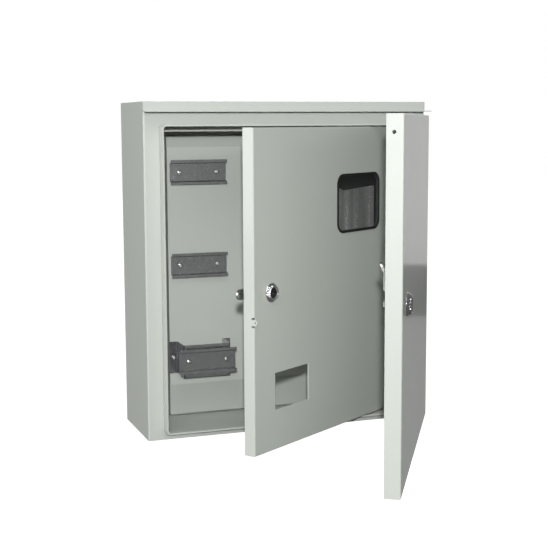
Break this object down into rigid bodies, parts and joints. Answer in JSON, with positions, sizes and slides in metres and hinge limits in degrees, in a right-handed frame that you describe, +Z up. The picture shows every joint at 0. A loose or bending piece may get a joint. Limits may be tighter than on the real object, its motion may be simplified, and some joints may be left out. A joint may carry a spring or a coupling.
{
  "type": "electric meter box",
  "caption": "Wall cabinet of folded steel for an electric meter: rain ledge, outer door, recessed inner door with window, cam locks and rails inside.",
  "frame": {"origin": "centre of the four wall-fixing holes, on the outer face of the back wall", "axes": "+X to the right seen from the front, +Y into the wall, +Z up; the doors open towards -Y"},
  "size_m": [0.4029, 0.4775, 0.445],
  "materials": {
    "grey_paint": "light grey powder coat, semi-gloss with a fine orange peel",
    "galvanised_steel": "zinc-coated sheet, dull with faint spangle",
    "zinc_plated_steel": "zinc-plated, satin",
    "rivet_aluminium": "plain",
    "lock_chrome": "bright chrome over a die casting",
    "dark_plug": "dark, satin",
    "foam_rubber": "foamed in place, matt",
    "black_rubber": "matt",
    "black_board": "pressed insulating board, satin",
    "clear_pane": "clear"
  },
  "bodies": {
    "cabinet": {"cabinet_shell": "grey_paint", "rain_ledge": "grey_paint", "door_stop_strip": "grey_paint", "lock_strike": "grey_paint", "mounting_tray": "grey_paint", "component_plate": "grey_paint", "upper_rail": "galvanised_steel", "middle_rail": "galvanised_steel", "lower_rail": "galvanised_steel", "rail_bracket": "galvanised_steel", "rail_rivets": "rivet_aluminium", "bracket_screws": "zinc_plated_steel", "insulating_board": "black_board", "meter_plate": "galvanised_steel", "meter_plate_spacers": "zinc_plated_steel", "meter_plate_screws": "zinc_plated_steel", "outer_hinge_brackets": "grey_paint", "outer_hinge_pins": "zinc_plated_steel", "inner_hinge_brackets": "grey_paint", "inner_hinge_pins": "zinc_plated_steel"},
    "outer_door": {"outer_door": "grey_paint", "outer_door_seal": "foam_rubber", "outer_door_knuckles": "grey_paint", "outer_lock_housing": "lock_chrome", "outer_lock_nut": "zinc_plated_steel"},
    "outer_cam": {"outer_lock_plug": "lock_chrome", "outer_cam": "zinc_plated_steel", "outer_cam_screw": "zinc_plated_steel"},
    "inner_door": {"inner_door": "grey_paint", "window_pane": "clear_pane", "window_gasket": "black_rubber", "inner_lock_housing": "lock_chrome", "inner_lock_nut": "zinc_plated_steel"},
    "inner_cam": {"inner_lock_plug": "dark_plug", "inner_cam": "zinc_plated_steel", "inner_cam_screw": "zinc_plated_steel"}
  },
  "joints": [
    {"name": "outer_door_hinge", "type": "hinge", "parent": "cabinet", "child": "outer_door", "pos_m": [0.19, -0.1395, 0], "axis": [0, 0, 1], "range_deg": [-59, 36]},
    {"name": "inner_door_hinge", "type": "hinge", "parent": "cabinet", "child": "inner_door", "pos_m": [0.1666, -0.0996, 0], "axis": [0, 0, 1], "range_deg": [-34.22, 38]},
    {"name": "outer_lock_turn", "type": "hinge", "parent": "outer_door", "child": "outer_cam", "pos_m": [0.01502, -0.43072, -0.0077], "axis": [0.8572, -0.515, 0], "range_deg": [0, 90]},
    {"name": "inner_lock_turn", "type": "hinge", "parent": "inner_door", "child": "inner_cam", "pos_m": [-0.08188, -0.26859, -0.011], "axis": [0.5624, -0.8269, 0], "range_deg": [-90, 0]}
  ],
  "couplings": [
    {"joint": "inner_door_hinge", "follows": "outer_door_hinge", "ratio": 0.58}
  ]
}
